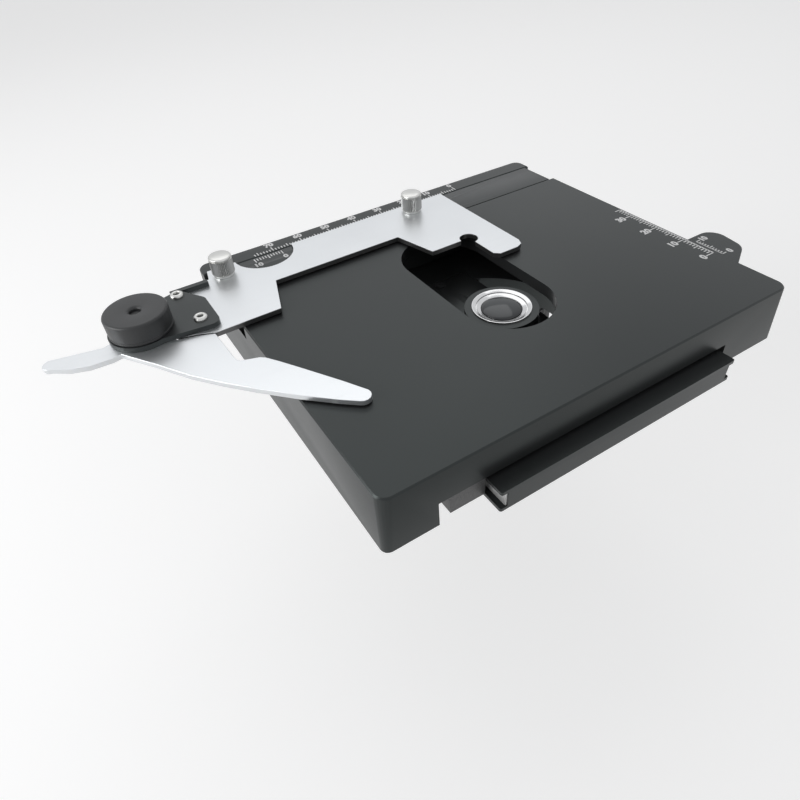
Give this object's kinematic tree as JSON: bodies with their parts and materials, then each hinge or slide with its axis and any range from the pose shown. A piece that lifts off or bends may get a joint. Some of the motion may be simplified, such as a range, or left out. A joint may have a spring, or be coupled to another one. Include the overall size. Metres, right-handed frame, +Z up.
{
  "type": "mechanical microscope stage",
  "caption": "Rack and pinion microscope stage with a light slot, in-stage condenser, spring-loaded slide holder, vernier scales and coaxial drop-down knobs",
  "frame": {"origin": "the middle of the stage bolts on the underside of the base plate, 1.5 mm from the optical axis", "axes": "+X to the user's right along the slider, +Y from the user to the microscope's arm, +Z up, along the optical axis"},
  "size_m": [0.1858, 0.1155, 0.081],
  "materials": {
    "black_anodised": "fine satin black paint",
    "grey_aluminium": "plain machined",
    "satin_aluminium": "satin blasted",
    "black_steel": "satin black",
    "bright_steel": "turned",
    "nickel": "satin nickel plate",
    "bezel_chrome": "polished",
    "gear_brass": "machined",
    "black_plastic": "moulded satin",
    "lens_glass": "coated"
  },
  "bodies": {
    "base": {"base_plate": "black_anodised", "guide_strips": "bright_steel", "condenser_cell": "black_anodised", "condenser_screws": "bright_steel", "lens_bezel": "bezel_chrome", "top_lens": "lens_glass", "y_rack": "bright_steel", "vernier_bracket": "black_steel", "bracket_screws": "bright_steel", "y_vernier": "black_anodised"},
    "plate": {"top_plate": "black_anodised", "rear_rail": "black_anodised", "rail_screws": "bright_steel", "left_gib": "grey_aluminium", "right_gib": "grey_aluminium", "gib_screws": "bright_steel", "knob_bearing": "black_anodised", "bearing_screws": "bright_steel"},
    "slider": {"slider_bar": "black_anodised", "x_rack": "bright_steel", "rack_screws": "bright_steel", "holder_plate": "satin_aluminium", "thumb_screws": "nickel", "pivot_plate": "black_steel", "pivot_screws": "nickel", "pivot_pin": "bright_steel", "pivot_cap": "black_plastic", "finger_spring": "bright_steel"},
    "finger": {"slide_finger": "satin_aluminium"},
    "x_drive": {"x_shaft": "bright_steel", "x_pinion": "gear_brass", "thrust_collar": "bright_steel", "x_knob": "black_plastic"},
    "y_drive": {"y_sleeve": "bright_steel", "y_pinion": "gear_brass", "y_knob": "black_plastic"}
  },
  "joints": [
    {"name": "y_slide", "type": "slide", "parent": "base", "child": "plate", "axis": [0, 1, 0], "range_m": [-0.03, 0]},
    {"name": "x_slide", "type": "slide", "parent": "plate", "child": "slider", "axis": [1, 0, 0], "range_m": [-0.003, 0.067]},
    {"name": "finger_pivot", "type": "hinge", "parent": "slider", "child": "finger", "pos_m": [-0.086, 0.0425, 0.018], "axis": [0, 0, 1], "range_deg": [-35, 0], "stiffness_Nm_per_rad": 0.02, "springref_deg": 28.65},
    {"name": "x_turn", "type": "hinge", "parent": "plate", "child": "x_drive", "pos_m": [0.0472, 0.0471, 0], "axis": [0, 0, 1], "range_deg": [-601, 28]},
    {"name": "y_turn", "type": "hinge", "parent": "plate", "child": "y_drive", "pos_m": [0.0472, 0.0471, 0], "axis": [0, 0, 1], "range_deg": [-270, 2]}
  ],
  "couplings": [
    {"joint": "x_turn", "follows": "x_slide", "rad_per_m": -156.25},
    {"joint": "y_turn", "follows": "y_slide", "rad_per_m": 156.25}
  ]
}
